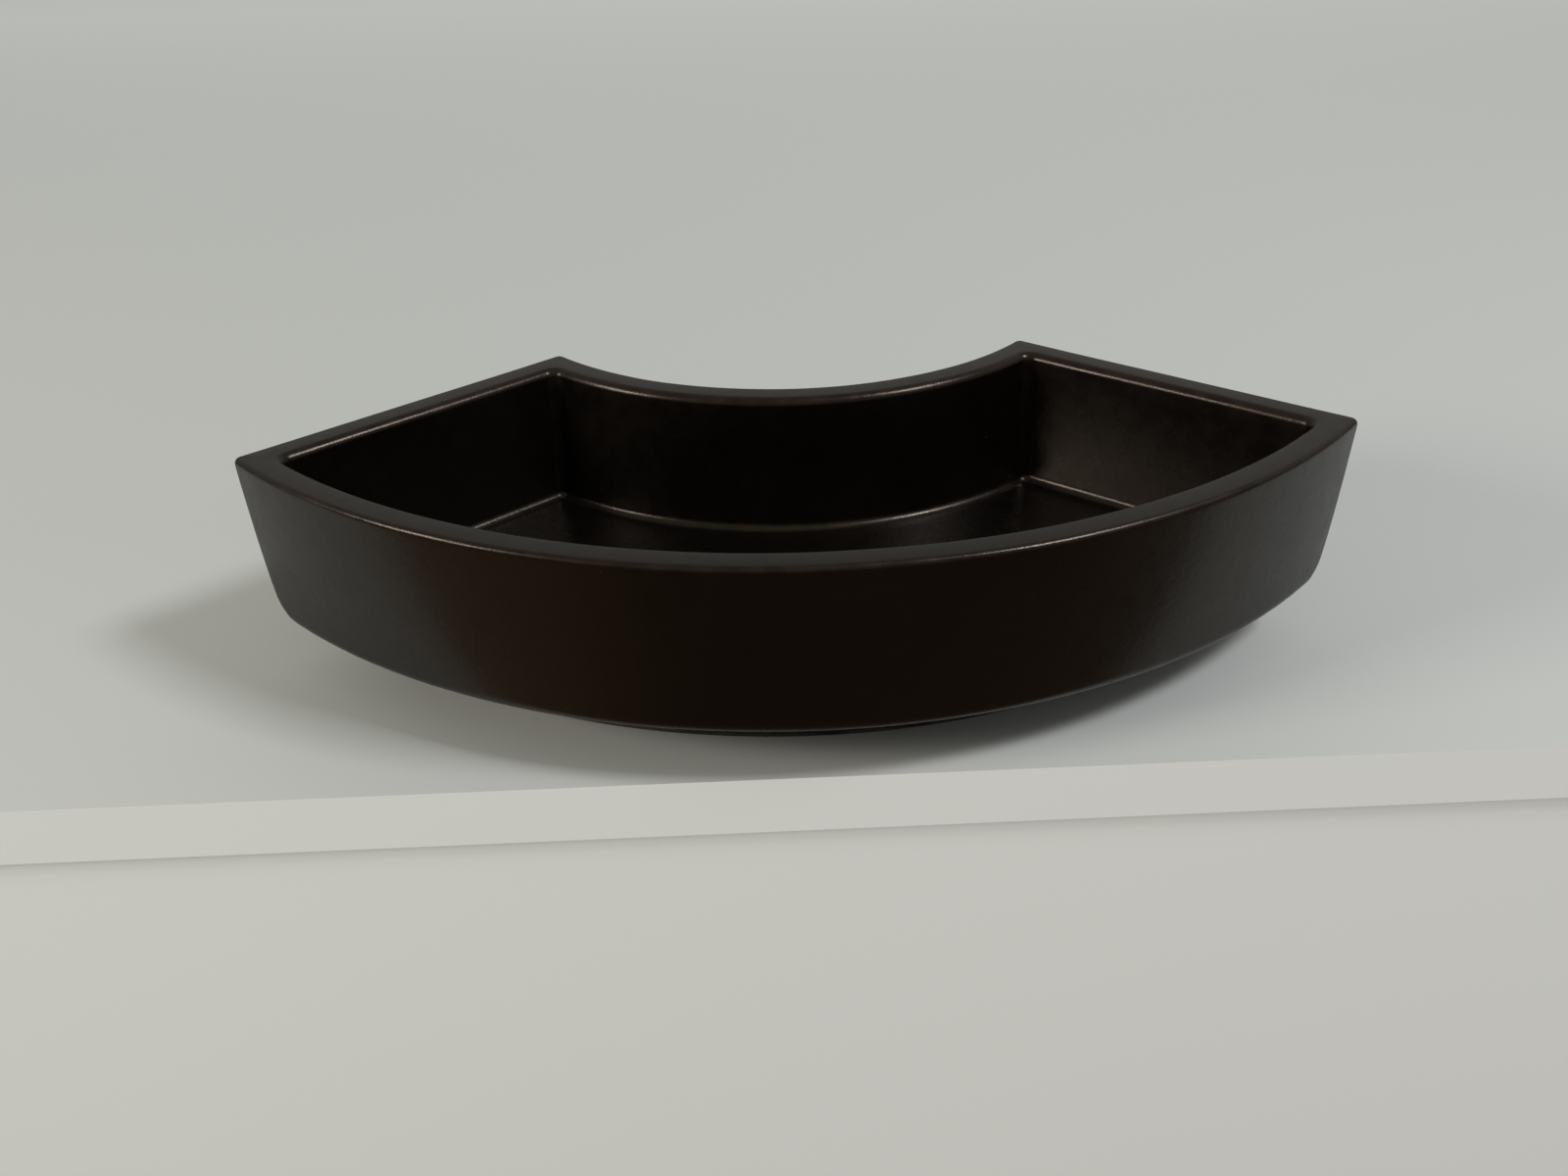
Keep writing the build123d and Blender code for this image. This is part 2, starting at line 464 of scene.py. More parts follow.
rule_tree.links.new(made_uneven(rule_tree, place.outputs[0], given), result["Position"])
print("rule:", len(rule_tree.nodes), "nodes")

# %% [markdown]
# The band tree makes a closed tube with as many points round it as the section
# has, and gives every point its place by the rule. The rings first turn through
# half a corner, then walk along the side, then turn through half a corner again,
# so that two bands meet in a mitre. Where a corner begins there are two rings in
# one place: the second one sinks by *bed*, which leaves a clean step. Rings and
# points that don't differ are merged at the end.

# %% Helpers that the three trees of pieces share
same_place = 0.000004


def tube(tree, around, along):
    """A closed tube, with each point's ring and its place in the ring."""
    inputs = {"Vertices": around, "Side Segments": along}
    mesh = add_node(tree, "GeometryNodeMeshCylinder", inputs, fill_type="NGON").outputs[0]
    index = add_node(tree, "GeometryNodeInputIndex").outputs[0]
    ring = calc(tree, "FLOOR", calc(tree, "DIVIDE", index, around))
    return mesh, ring, calc(tree, "SUBTRACT", index, calc(tree, "MULTIPLY", ring, around))


def ruled(tree, given, values):
    """The fan rule's position for these values, with the tree's own sizes."""
    inputs = {name: given[name] for name in shape_inputs} | values
    return add_node(tree, "GeometryNodeGroup", inputs, node_tree=rule_tree).outputs[0]


def finish_tree(tree, given, result, mesh, position, facts):
    """Place the points, store facts about them, merge doubles and set the material."""
    steps = [("SetPosition", {"Position": position})]
    for name, value in facts.items():
        steps.append(("StoreNamedAttribute", {"Name": name, "Value": value}))
    steps += [("MergeByDistance", {"Distance": same_place}), ("SetShadeSmooth", {})]
    steps += [("RealizeInstances", {}), ("SetMaterial", {"Material": given["Material"]})]
    for kind, inputs in steps:
        mesh = add_node(tree, "GeometryNode" + kind, {"Geometry": mesh} | inputs).outputs[0]
    tree.links.new(mesh, result["Geometry"])


def mirrored(tree, position, mirror):
    """Change a position's side from right to left where mirror is 1."""
    scale = {"X": calc(tree, "MULTIPLY_ADD", mirror, -2.0, 1.0), "Y": 1.0, "Z": 1.0}
    scale = add_node(tree, "ShaderNodeCombineXYZ", scale).outputs[0]
    return vector(tree, "MULTIPLY", position, scale)


def point_count(tree, points):
    """How many points a geometry has."""
    return add_node(tree, "GeometryNodeAttributeDomainSize", {0: points}).outputs["Point Count"]


print("helpers: tube, ruled, finish_tree, mirrored, point_count")

# %% Tree: a band round one side of the fan
piece_inputs = shape_inputs | {"Material": "Material"}
band_tree, given, result = start_tree(
    "fan_band",
    {"Section": "Geometry", "Side": "Float", "Mirrored": "Float"}
    | {"Corner steps": "Int", "Side steps": "Int"}
    | piece_inputs,
    {"Geometry": "Geometry"},
)
around = point_count(band_tree, given["Section"])
corner_steps, side_steps = given["Corner steps"], given["Side steps"]
first_side = calc(band_tree, "ADD", corner_steps, 1.0)
last_corner = calc(band_tree, "ADD", first_side, calc(band_tree, "ADD", side_steps, 1.0))
mesh, ring, point = tube(band_tree, around, calc(band_tree, "ADD", last_corner, corner_steps))

turned = calc(band_tree, "DIVIDE", ring, corner_steps)
turn_start = calc(band_tree, "SUBTRACT", 1.0, turned, clamp=True)
walked = calc(band_tree, "SUBTRACT", ring, first_side)
along = calc(band_tree, "DIVIDE", walked, side_steps, clamp=True)
turned = calc(band_tree, "SUBTRACT", ring, last_corner)
turn_end = calc(band_tree, "DIVIDE", turned, corner_steps, clamp=True)
before = calc(band_tree, "LESS_THAN", ring, calc(band_tree, "SUBTRACT", first_side, 0.5))
after = calc(band_tree, "GREATER_THAN", ring, calc(band_tree, "SUBTRACT", last_corner, 0.5))
in_corner = calc(band_tree, "MAXIMUM", before, after)
print("band so far:", len(band_tree.nodes), "nodes")


# %% [markdown]
# Each point of the tube finds its line in the section by its number. The ring
# gives *along* and both turns, the line gives the rest, and the rule places it.

# %% The band's points
def from_section(name=None):
    """The position, or a named fact, of the section's point for each point of the tube."""
    if name:
        kind, source, inputs = "FLOAT", "GeometryNodeInputNamedAttribute", {"Name": name}
    else:
        kind, source, inputs = "FLOAT_VECTOR", "GeometryNodeInputPosition", {}
    value = add_node(band_tree, source, inputs).outputs[0]
    inputs = {"Geometry": given["Section"], "Value": value, "Index": point}
    return add_node(band_tree, "GeometryNodeSampleIndex", inputs, data_type=kind).outputs[0]


line = add_node(band_tree, "ShaderNodeSeparateXYZ", {0: from_section()}).outputs
sunk = calc(band_tree, "MULTIPLY", from_section("bed"), in_corner)
not_sunk = calc(band_tree, "LESS_THAN", sunk, same_place)
shown = calc(band_tree, "MULTIPLY", from_section("shown"), not_sunk)
position = ruled(
    band_tree,
    given,
    {"Side": given["Side"], "Along": along, "Turn start": turn_start, "Turn end": turn_end}
    | {"Inset": calc(band_tree, "SUBTRACT", line["X"], sunk)}
    | {"Corner radius": calc(band_tree, "ADD", line["Y"], sunk), "Height": line["Z"]},
)
position = mirrored(band_tree, position, given["Mirrored"])
facts = {"shown": shown, "edge_break_and_highlight": from_section("edge_break_and_highlight")}
finish_tree(band_tree, given, result, mesh, position, facts)
print("band:", len(band_tree.nodes), "nodes")

# %% [markdown]
# An upright coil fills an inner corner. It is a tube as well, but its rings go up
# the wall, and the points round it swing through the whole corner on the shown
# side and come back on the hidden side, deeper by the bed.

# %% Tree: an upright coil in an inner corner
coil_tree, given, result = start_tree(
    "upright_coil",
    {"Rows": "Geometry", "At the back": "Float", "Mirrored": "Float"}
    | {"Corner steps": "Int", "Bed": "Float"}
    | piece_inputs,
    {"Geometry": "Geometry"},
)
rows = point_count(coil_tree, given["Rows"])
swing_steps = calc(coil_tree, "MULTIPLY", given["Corner steps"], 2.0)
around = calc(coil_tree, "MULTIPLY_ADD", swing_steps, 2.0, 2.0)
mesh, ring, point = tube(coil_tree, around, calc(coil_tree, "SUBTRACT", rows, 1.0))
hidden = calc(coil_tree, "GREATER_THAN", point, calc(coil_tree, "ADD", swing_steps, 0.5))
there = calc(coil_tree, "MINIMUM", calc(coil_tree, "DIVIDE", point, swing_steps), 1.0)
returning = calc(coil_tree, "SUBTRACT", calc(coil_tree, "SUBTRACT", around, 1.0), point)
returning = calc(coil_tree, "DIVIDE", returning, swing_steps)
difference = calc(coil_tree, "SUBTRACT", returning, there)
share = calc(coil_tree, "MULTIPLY_ADD", difference, hidden, there)
turn = calc(coil_tree, "MULTIPLY", share, 2.0)
print("upright coil so far:", len(coil_tree.nodes), "nodes")

# %% [markdown]
# Each ring takes its inset, height and radius from one row of the wall's inner
# face. With *along* at 0 or 1 the rule is at a corner of the fan, so only the
# turn changes from point to point.

# %% The upright coil's points
row_value = add_node(coil_tree, "GeometryNodeInputPosition").outputs[0]
row = add_node(
    coil_tree,
    "GeometryNodeSampleIndex",
    {"Geometry": given["Rows"], "Value": row_value, "Index": ring},
    data_type="FLOAT_VECTOR",
).outputs[0]
line = add_node(coil_tree, "ShaderNodeSeparateXYZ", {0: row}).outputs
sunk = calc(coil_tree, "MULTIPLY", given["Bed"], hidden)
at_back, at_front = given["At the back"], calc(coil_tree, "SUBTRACT", 1.0, given["At the back"])
position = ruled(
    coil_tree,
    given,
    {"Side": 2.0, "Along": at_back}
    | {"Turn start": calc(coil_tree, "MULTIPLY", turn, at_front)}
    | {"Turn end": calc(coil_tree, "MULTIPLY", turn, at_back)}
    | {"Inset": calc(coil_tree, "SUBTRACT", line["X"], sunk)}
    | {"Corner radius": calc(coil_tree, "ADD", line["Y"], sunk), "Height": line["Z"]},
)
position = mirrored(coil_tree, position, given["Mirrored"])
# A faint brown painted highlight over each upright coil.
facts = {"shown": calc(coil_tree, "SUBTRACT", 1.0, hidden), "edge_break_and_highlight": 0.15}
finish_tree(coil_tree, given, result, mesh, position, facts)
print("upright coil:", len(coil_tree.nodes), "nodes")

# %% [markdown]
# The floor is one slab between the walls. A box that is divided into a grid is
# bent into the fan: its width becomes an angle round the fan's centre, its depth
# a distance from it. The two upper levels are drawn in to leave room for the
# floor coils.

# %% Tree: the floor slab
slab_tree, given, result = start_tree(
    "floor_slab",
    {"Steps across": "Int", "Steps deep": "Int", "Lower inset": "Float", "Upper inset": "Float"}
    | {"Underside": "Float", "Ledge": "Float", "Floor": "Float"}
    | piece_inputs,
    {"Geometry": "Geometry"},
)


def do(operation, *values):
    """A Math node in the slab's tree."""
    return calc(slab_tree, operation, *values)


box = add_node(
    slab_tree,
    "GeometryNodeMeshCube",
    {"Size": (2.0, 1.0, 3.0), "Vertices X": do("ADD", given["Steps across"], 1.0)}
    | {"Vertices Y": do("ADD", given["Steps deep"], 1.0), "Vertices Z": 4},
).outputs[0]
grid_place = add_node(slab_tree, "GeometryNodeInputPosition").outputs[0]
spot = add_node(slab_tree, "ShaderNodeSeparateXYZ", {0: grid_place}).outputs
is_upper = do("GREATER_THAN", spot["Z"], 0.0)
is_top, is_bottom = do("GREATER_THAN", spot["Z"], 1.0), do("LESS_THAN", spot["Z"], -1.0)
print("slab so far:", len(slab_tree.nodes), "nodes")

# %% [markdown]
# The box's width runs from -1 to 1, which times an angle gives the way round the
# centre. Its depth becomes the way from the back arc to the front one.

# %% The slab bent into the fan
drawn_in = do("SUBTRACT", given["Upper inset"], given["Lower inset"])
inset = do("MULTIPLY_ADD", drawn_in, is_upper, given["Lower inset"])
level = do("MULTIPLY_ADD", do("SUBTRACT", given["Floor"], given["Ledge"]), is_top, given["Ledge"])
level = do("MULTIPLY_ADD", do("SUBTRACT", given["Underside"], given["Ledge"]), is_bottom, level)
nearest = do("ADD", given["Back radius"], inset)
farthest = do("SUBTRACT", given["Front radius"], inset)
reach = do("MULTIPLY_ADD", do("SUBTRACT", farthest, nearest), do("ADD", spot["Y"], 0.5), nearest)
angle = do("SUBTRACT", given["Half angle"], do("ARCSINE", do("DIVIDE", inset, reach)))
angle = do("MULTIPLY", angle, spot["X"])
position = add_node(
    slab_tree,
    "ShaderNodeCombineXYZ",
    {"X": do("MULTIPLY", reach, do("SINE", angle)), "Z": level}
    | {"Y": do("SUBTRACT", given["Fan centre"], do("MULTIPLY", reach, do("COSINE", angle)))},
).outputs[0]
position = made_uneven(slab_tree, position, given)
facts = {"shown": do("MAXIMUM", is_top, is_bottom), "edge_break_and_highlight": 0.0}
finish_tree(slab_tree, given, result, box, position, facts)
print("slab:", len(slab_tree.nodes), "nodes")

# %% [markdown]
# A glaze is a thin coat of glass. This one is fired to a satin surface, so its
# reflections are blurred, and near black with a warm brown cast. Where it runs
# thin on an edge it breaks to brown, and the same brown is also painted on as
# highlight lines along the roundings, floor coves and inner corners. Up close it
# has a fine orange-peel texture and a few pinholes, where bubbles burst in the
# kiln. Each of these is a layer of noise on Object coordinates, which are the same
# place on the dish in any view.

# %% Helpers for materials
def start_material(name, plain_color):
    """A new material with its shader, and the color that a plain viewport shows."""
    material = bpy.data.materials.new(name)
    material.use_nodes = True
    material.diffuse_color = (*plain_color, 1)
    tree = material.node_tree
    tree.nodes.clear()
    shader = add_node(tree, "ShaderNodeBsdfPrincipled")
    add_node(tree, "ShaderNodeOutputMaterial", {"Surface": shader.outputs[0]})
    place = add_node(tree, "ShaderNodeTexCoord").outputs["Object"]
    return material, tree, shader, place


def noise(tree, place, size, detail=2.0, roughness=0.5):
    """Noise whose features are about this many metres across."""
    inputs = {"Vector": place, "Scale": 1 / size, "Detail": detail, "Roughness": roughness}
    return add_node(tree, "ShaderNodeTexNoise", inputs).outputs["Fac"]


def spread(tree, value, from_low, from_high, to_low, to_high):
    """Stretch a value from one range to another."""
    inputs = {0: value, 1: from_low, 2: from_high, 3: to_low, 4: to_high}
    return add_node(tree, "ShaderNodeMapRange", inputs).outputs[0]


def mixed(tree, share, first, second):
    """Mix two colors. A color that is written out gets its fourth value here."""
    first, second = ((*c, 1) if isinstance(c, tuple) else c for c in (first, second))
    inputs = {0: share, 6: first, 7: second}
    return add_node(tree, "ShaderNodeMix", inputs, data_type="RGBA").outputs[2]


def bumped(tree, height, strength, distance, before=None):
    """Bump from a height, on top of an earlier bump."""
    inputs = {"Height": height, "Strength": strength, "Distance": distance}
    if before:
        inputs["Normal"] = before
    return add_node(tree, "ShaderNodeBump", inputs).outputs[0]


print("helpers: start_material, noise, spread, mixed, bumped")

# %% [markdown]
# One color with one gloss would look like plastic. So slow clouds shift the
# color, small mottles change the gloss, and two layers of bump break up the
# highlights, which look beaded on the real rim for the same reason.

# %% Satin black glaze
glaze_color = (0.0024, 0.0017, 0.0012)
deep_glaze, pale_glaze = (0.0018, 0.0013, 0.0009), (0.0030, 0.0021, 0.0014)
# The broken glaze brown also serves as the color of painted highlight lines.
broken_glaze_and_highlight, bare_clay = (0.014, 0.0085, 0.0055), (0.05, 0.042, 0.036)
glaze, tree, shader, place = start_material("satin_black_glaze", glaze_color)
cloud = noise(tree, place, 0.045, 3.0)
mottle = noise(tree, place, 0.006, 3.0)
body = mixed(tree, spread(tree, cloud, 0.35, 0.65, 0.0, 1.0), deep_glaze, pale_glaze)
# Brown where glaze ran thin on edges, plus painted highlight lines on coves and corners.
edge_break_and_highlight = add_node(tree, "ShaderNodeAttribute", attribute_name="edge_break_and_highlight").outputs["Fac"]
patchy = spread(tree, mottle, 0.3, 0.7, 0.15, 1.0)
break_and_highlight_mask = calc(tree, "MULTIPLY", edge_break_and_highlight, patchy, clamp=True)
body = mixed(tree, break_and_highlight_mask, body, broken_glaze_and_highlight)
print("glaze so far:", len(tree.nodes), "nodes")

# %% [markdown]
# A pinhole is where a bubble broke and the melt didn't close over it. Modelled
# ones would take far too many faces. Cells of a Voronoi pattern scatter them in
# the material instead, and a lot drawn by each cell leaves most of them out.

# %% Pinholes in the glaze
pinhole_spacing, pinhole_share = 0.009, 0.18
scale = 1 / pinhole_spacing
cells = add_node(tree, "ShaderNodeTexVoronoi", {"Vector": place, "Scale": scale}).outputs
lot = add_node(tree, "ShaderNodeSeparateColor", {0: cells["Color"]}).outputs[0]
chosen = calc(tree, "GREATER_THAN", lot, 1 - pinhole_share)
dot = spread(tree, cells["Distance"], 0.018, 0.038, 1.0, 0.0)
pinhole = calc(tree, "MULTIPLY", chosen, dot)
body = mixed(tree, calc(tree, "MULTIPLY", pinhole, 0.5), body, bare_clay)
tree.links.new(body, shader.inputs["Base Color"])
print("one cell in", round(1 / pinhole_share, 1), "has a pinhole")

# %% [markdown]
# Gloss tells more than color on a black glaze. The mottles and clouds that shift
# the color shift the roughness too, so both change in the same patches. Orange
# peel, a finer grain and the pinholes lie on each other as bump.

# %% Gloss and bump of the glaze
matt = spread(tree, mottle, 0.3, 0.7, 0.24, 0.31)
matt = calc(tree, "ADD", matt, spread(tree, cloud, 0.3, 0.7, -0.02, 0.03))
matt = calc(tree, "ADD", matt, calc(tree, "MULTIPLY", pinhole, 0.2))
tree.links.new(matt, shader.inputs["Roughness"])
shader.inputs["IOR"].default_value = 1.38
shader.inputs["Specular Tint"].default_value = (1.0, 0.86, 0.74, 1)

peel = noise(tree, place, 0.0022, 2.0, 0.4)
grain = noise(tree, place, 0.0006, 2.0, 0.5)
normal = bumped(tree, peel, 0.5, 0.00008)
normal = bumped(tree, grain, 0.5, 0.00005, normal)
normal = bumped(tree, calc(tree, "SUBTRACT", 1.0, pinhole), 0.6, 0.0001, normal)
tree.links.new(normal, shader.inputs["Normal"])
print("glaze:", len(tree.nodes), "nodes")

# %% [markdown]
# The foot carries the same glaze on its sides. Its standing face was wiped bare,
# or the dish would have stuck to the kiln shelf, so the dark clay shows there,
# matt and grainy. Height above the table decides which of the two is seen.

# %% Clay and glaze of the foot
clay_color = (0.035, 0.027, 0.022)
dark_clay, light_clay = (0.026, 0.019, 0.015), (0.055, 0.043, 0.034)
clay, tree, shader, place = start_material("foot_clay", clay_color)
speckle = noise(tree, place, 0.0007, 3.0, 0.6)
cloud = noise(tree, place, 0.012, 3.0)
bare_color = mixed(tree, spread(tree, speckle, 0.35, 0.65, 0.0, 1.0), dark_clay, light_clay)
height = add_node(tree, "ShaderNodeSeparateXYZ", {0: place}).outputs["Z"]
wiped = calc(tree, "ADD", height, spread(tree, cloud, 0.3, 0.7, -0.0006, 0.0006))
bare = spread(tree, wiped, 0.0012, 0.0016, 1.0, 0.0)
tree.links.new(mixed(tree, bare, glaze_color, bare_color), shader.inputs["Base Color"])
tree.links.new(spread(tree, bare, 0.0, 1.0, 0.42, 0.85), shader.inputs["Roughness"])
tree.links.new(bumped(tree, speckle, 0.4, 0.00008), shader.inputs["Normal"])
print("clay:", len(tree.nodes), "nodes")

# %% [markdown]
# Now each CAD node gets its visual piece. A tree reads geometry and no lists, so
# a section becomes a mesh of loose points, with its facts stored beside them.
# The sizes that all pieces share are gathered once.

# %% Shared sizes, and a helper for sections
shape_values = {
    "Front radius": front_radius,
    "Back radius": back_radius,
    "Half angle": half_angle,
    "Fan centre": fan_centre,
    "Unevenness": unevenness,
    "Seed": 3.0,
}


def section_mesh(name, section):
    """A section's points as a mesh: inset, corner radius and height, with its facts."""
    mesh = bpy.data.meshes.new(name)
    mesh.from_pydata([(p.inset, p.corner, p.height) for p in section], [], [])
    for fact in ("bed", "shown", "edge_break_and_highlight"):
        stored = mesh.attributes.new(fact, "FLOAT", "POINT")
        stored.data.foreach_set("value", [getattr(p, fact) for p in section])
    return mesh


print("shared sizes:", len(shape_values))

# %% [markdown]
# The tree runs on that mesh as a modifier, whose inputs are set by the
# identifiers of their sockets, and the result is kept as a plain mesh. Its faces
# are turned outwards if its volume comes out negative, as on mirrored pieces.

# %% Helper that grows a piece
def grow(name, tree, values, section, material):
    """Run a tree on a section and keep what it makes as a plain mesh."""
    piece = bpy.data.objects.new(name, section_mesh(name + "_section", section))
    bpy.context.scene.collection.objects.link(piece)
    modifier = piece.modifiers.new(name, "NODES")
    modifier.node_group = tree
    values = shape_values | values | {"Material": material}
    for item in tree.interface.items_tree:
        if item.in_out == "INPUT" and item.name in values:
            modifier[item.identifier] = values[item.name]
    graph = bpy.context.evaluated_depsgraph_get()
    mesh = bpy.data.meshes.new_from_object(piece.evaluated_get(graph))
    piece.modifiers.clear()
    piece.data = mesh
    mesh.name = name
    shape = bmesh.new()
    shape.from_mesh(mesh)
    volume = shape.calc_volume(signed=True)
    open_edges = sum(not edge.is_manifold for edge in shape.edges)
    shape.free()
    if volume < 0:
        mesh.flip_normals()
    faces, millilitres = len(mesh.polygons), abs(volume) * 1e6
    print(f"{name}: {faces} faces, {millilitres:.1f} ml, {open_edges} open edges")
    return piece


print("helper: grow")

# %% [markdown]
# A wall is a slab of clay that was cut to length and stood on edge round the
# floor. The four walls and the four coils below them could each be modelled by
# hand, but the band tree gives all eight with other inputs. The arcs take more
# steps than the straight ends, because only they have to look round.

# %% Walls and floor coils
corner_steps, arc_steps, end_steps = 14, 230, 70
sides = {
    "front": {"Side": 0.0, "Side steps": arc_steps},
    "back": {"Side": 1.0, "Side steps": arc_steps},
    "left": {"Side": 2.0, "Side steps": end_steps, "Mirrored": 1.0},
    "right": {"Side": 2.0, "Side steps": end_steps},
}
wall_nodes = {"front": "front_wall", "back": "back_wall"}
wall_nodes |= {"left": "left_end_wall", "right": "right_end_wall"}
glazed = {}
for side, values in sides.items():
    values = values | {"Corner steps": corner_steps}
    wall = grow(side + "_wall_glazed", band_tree, values, wall_section, glaze)
    coil = grow("floor_coil_glazed_" + side, band_tree, values, coil_section, glaze)
    glazed |= {wall_nodes[side]: wall, "floor_coil_" + side: coil}

# %% [markdown]
# A thin coil is pressed into each inner corner and wiped smooth, which keeps the
# joint from cracking in the kiln. It takes its rows from the wall's own inner
# face, so the two meet point for point. The floor slab closes the bottom. It
# could be one face between the coils, but a bent grid bends with the clay.

# %% Upright coils and the floor
for place_name, at_back in (("front", 0.0), ("back", 1.0)):
    for side, mirror in (("left", 1.0), ("right", 0.0)):
        values = {"At the back": at_back, "Mirrored": mirror, "Corner steps": corner_steps}
        values |= {"Bed": upright_bed}
        name = f"{place_name}_{side}"
        coil = grow("corner_coil_glazed_" + name, coil_tree, values, inner_face, glaze)
        glazed["corner_coil_" + name] = coil

values = {"Steps across": arc_steps, "Steps deep": end_steps, "Lower inset": floor_inset}
values |= {"Upper inset": floor_inset + coil_leg, "Underside": foot_top}
values |= {"Ledge": bed_level, "Floor": floor_level}
glazed["floor_slab"] = grow("floor_glazed", slab_tree, values, [SectionPoint(0.0, 0.0)], glaze)

# %% [markdown]
# The foot is a ring of four low strips, set well in, so that the dish seems to
# float above its shadow. A solid block would look the same from above, but a
# potter turns a pot over, so it is a ring: the band tree with a smaller section.

# %% Foot ring
foot_corner_steps = 8
feet = {}
for side, values in sides.items():
    values = values | {"Corner steps": foot_corner_steps}
    feet["foot_" + side] = grow("foot_clay_" + side, band_tree, values, foot_section, clay)

# %% [markdown]
# On the real dish the joints are smoothed over and glazed, so no seam may show.
# If each piece were shaded alone, its edge would catch the light a little
# differently from its neighbour's. So the shown faces of all glazed pieces are
# laid together once, the normals of that whole skin are worked out, and each
# piece takes its own normals from it.

# %% One skin of all shown faces
def shown_faces(mesh):
    """For each face, whether all its points are shown."""
    shown = [item.value > 0.5 for item in mesh.attributes["shown"].data]
    return [all(shown[v] for v in face.vertices) for face in mesh.polygons]


skin = bmesh.new()
for piece in glazed.values():
    verts = [skin.verts.new(v.co) for v in piece.data.vertices]
    for face, is_shown in zip(piece.data.polygons, shown_faces(piece.data)):
        if is_shown:
            skin.faces.new([verts[v] for v in face.vertices])
bmesh.ops.delete(skin, geom=[v for v in skin.verts if not v.link_faces], context="VERTS")
bmesh.ops.remove_doubles(skin, verts=skin.verts, dist=same_place)
skin.normal_update()
print("skin:", len(skin.faces), "faces")

# %% [markdown]
# Each point of a piece takes the normal of the skin's nearest point, which a
# tree of places finds at once. Faces that are hidden in the clay stay flat, and
# the feet, which aren't part of that skin, use their own normals.

# %% Normals shared by all glazed pieces
lookup = KDTree(len(skin.verts))
normals = []
for number, vert in enumerate(skin.verts):
    lookup.insert(vert.co, number)
    normals.append(vert.normal.copy())
lookup.balance()
skin.free()


def set_normals(mesh, smooth):
    """Give shown faces these normals at their points, and leave hidden ones flat."""
    corners = []
    for face, is_shown in zip(mesh.polygons, shown_faces(mesh)):
        corners += [smooth[v] if is_shown else face.normal for v in face.vertices]
    mesh.normals_split_custom_set(corners)


for piece in glazed.values():
    own = [normals[lookup.find(v.co)[1]] for v in piece.data.vertices]
    set_normals(piece.data, own)
for piece in feet.values():
    set_normals(piece.data, [v.normal.copy() for v in piece.data.vertices])
print("normals set on", len(glazed) + len(feet), "pieces")

# %% [markdown]
# Each piece rides on the one rigid body and stands for its CAD node, which is
# hidden and given the same glaze or clay.

# %% Tie the pieces to the frame
for node, piece in (glazed | feet).items():
    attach(piece, "root")
    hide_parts(node)
    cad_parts[node].data.materials.clear()
    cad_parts[node].data.materials.append(glaze if node in glazed else clay)
print("pieces:", len(glazed) + len(feet))

# %% [markdown]
# The dish stands on a pale painted ledge, with its front rim just past the
# ledge's edge. That matters for a glossy black thing: the front face mirrors the
# dim room beyond the edge, and only its ends mirror the pale ledge.

# %% Helpers for the stage
paint_color = (0.56, 0.58, 0.56)


def stage_plane(name, corners, material):
    """A flat piece of the stage from its four corners."""
    mesh = bpy.data.meshes.new(name)
    mesh.from_pydata(corners, [], [(0, 1, 2, 3)])
    plane = bpy.data.objects.new(name, mesh)
    bpy.context.scene.collection.objects.link(plane)
    mesh.materials.append(material)
    plane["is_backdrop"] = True


def start_paint(name):
    """Pale matt paint, and the socket that tells whether the camera sees it."""
    material, tree, shader, place = start_material(name, paint_color)
    for socket in ("Base Color", "Emission Color"):
        shader.inputs[socket].default_value = (*paint_color, 1)
    shader.inputs["Roughness"].default_value = 0.6
    seen = add_node(tree, "ShaderNodeLightPath").outputs["Is Camera Ray"]
    return material, tree, shader, place, seen


print("helpers: stage_plane, start_paint")

# %% [markdown]
# The ledge's front side gets little light, so its paint is lifted for the camera
# alone, and so is the far end of the top, which the windows don't reach. More
# light would lift them too, but it would wash out the black glaze.

# %% Pale paint
paint, tree, shader, place, seen = start_paint("pale_paint")
brushed = noise(tree, place, 0.004, 3.0)
tree.links.new(bumped(tree, brushed, 0.15, 0.0002), shader.inputs["Normal"])
behind = add_node(tree, "ShaderNodeSeparateXYZ", {0: place}).outputs["Y"]
lift = calc(tree, "MULTIPLY", seen, spread(tree, behind, 0.10, 1.3, 0.0, 0.38))
tree.links.new(lift, shader.inputs["Emission Strength"])

front_paint, tree, shader, place, seen = start_paint("pale_paint_in_front")
tree.links.new(calc(tree, "MULTIPLY", seen, 0.5), shader.inputs["Emission Strength"])
print("paints:", paint.name, front_paint.name)

# %% [markdown]
# The ledge is three planes: its top, the lip of the board, and the face below,
# which is set back a little so that the board shows.

# %% Floor
edge_y, lip, set_back, drop = -0.0663, 0.0185, 0.002, 1.5
wide, far = 3.0, 4.0
edge = [(-wide, edge_y, 0), (wide, edge_y, 0)]
stage_plane("ledge_top", [*edge, (wide, far, 0), (-wide, far, 0)], paint)
lip_foot = [(-wide, edge_y, -lip), (wide, edge_y, -lip)]
stage_plane("ledge_lip", [*lip_foot, *reversed(edge)], front_paint)
lower = edge_y + set_back
face_foot = [(-wide, lower, -drop), (wide, lower, -drop)]
stage_plane("ledge_face", [*face_foot, (wide, lower, -lip), (-wide, lower, -lip)], front_paint)
print("ledge edge at y in mm:", round(edge_y * 1000, 1))

# %% [markdown]
# Light makes a black glaze readable, because nearly all that one sees of it is
# what it mirrors. The highlights on the rim show where the light came from: a
# window high on the right, and a lower, warmer one on the left. One large lamp
# would be simpler, but it would leave the rim's edges without their two lines.

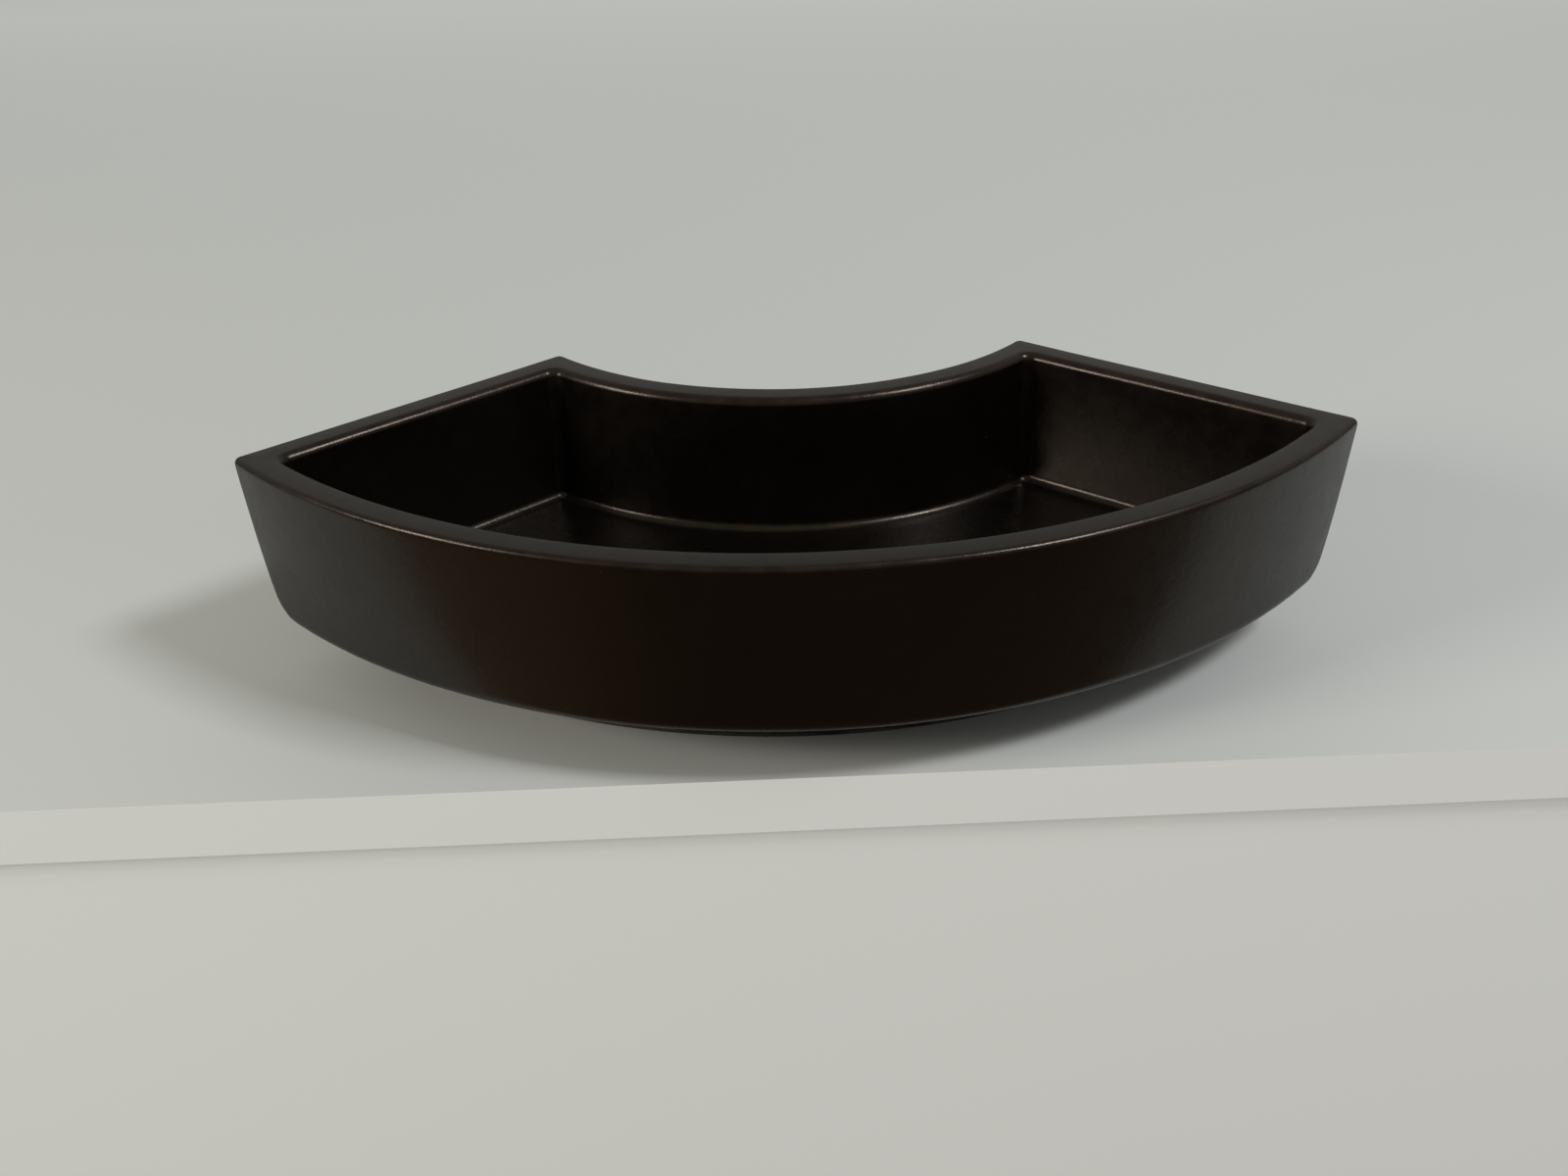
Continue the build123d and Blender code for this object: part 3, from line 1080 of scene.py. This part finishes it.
# %% Two windows
def soft_light(name, place, size, watts, color):
    """A rectangular area light that faces the dish."""
    light = bpy.data.lights.new(name, "AREA")
    light.shape = "RECTANGLE"
    light.size, light.size_y = size
    light.energy = watts
    light.color = color
    lamp = bpy.data.objects.new(name, light)
    bpy.context.scene.collection.objects.link(lamp)
    lamp.location = place
    lamp.rotation_euler = (-Vector(place)).to_track_quat("-Z", "Y").to_euler()


soft_light("right_window", (0.86, -0.42, 1.20), (0.36, 0.26), 11.5, (0.97, 0.98, 1.0))
soft_light("left_window", (-1.25, -0.50, 0.62), (0.42, 0.30), 10.0, (1.0, 0.92, 0.82))
print("lights:", len(bpy.data.lights))

# %% [markdown]
# The rest of the room is painted on the world by direction. It is pale above, so
# that shadows stay soft, and dim and warm below the ledge, with a patch of brown
# floor on the left. The camera itself sees a plain pale background instead.

# %% World
world = bpy.data.worlds.new("room")
bpy.context.scene.world = world
world.use_nodes = True
tree = world.node_tree
tree.nodes.clear()
toward = add_node(tree, "ShaderNodeTexCoord").outputs["Generated"]
axes = add_node(tree, "ShaderNodeSeparateXYZ", {0: toward}).outputs
backward, upward = axes["Y"], axes["Z"]
patch_direction = Vector((-0.72, -0.40, -0.56)).normalized()
dim_room, brown_patch = (0.155, 0.112, 0.080), (0.36, 0.22, 0.13)
pale_beside, pale_behind = (0.32, 0.32, 0.31), (0.42, 0.425, 0.405)
backdrop = (0.58, 0.60, 0.58)
to_patch = vector(tree, "DOT_PRODUCT", toward, patch_direction)
room = mixed(tree, spread(tree, to_patch, 0.89, 1.0, 0.0, 1.0), dim_room, brown_patch)
pale = mixed(tree, spread(tree, backward, 0.0, 0.7, 0.0, 1.0), pale_beside, pale_behind)
room = mixed(tree, spread(tree, upward, -0.05, 0.35, 0.0, 1.0), room, pale)
seen = add_node(tree, "ShaderNodeLightPath").outputs["Is Camera Ray"]
room = mixed(tree, seen, room, backdrop)
background = add_node(tree, "ShaderNodeBackground", {"Color": room, "Strength": 1.0})
add_node(tree, "ShaderNodeOutputWorld", {"Surface": background.outputs[0]})
bpy.context.scene.view_settings.view_transform = "Standard"
print("world:", len(tree.nodes), "nodes")

# %% [markdown]
# Last, the CAD model's box and the visual model's box are printed side by side
# in millimetres. The visual model is built to stay inside the CAD box.

# %% Measure and finish
low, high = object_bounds()
for end, cad_end, visual_end in (("low", cad_low, low), ("high", cad_high, high)):
    for axis, one, other in zip("xyz", cad_end, visual_end):
        print(axis, end, "in mm: cad", round(one * 1000, 3), "visual", round(other * 1000, 3))
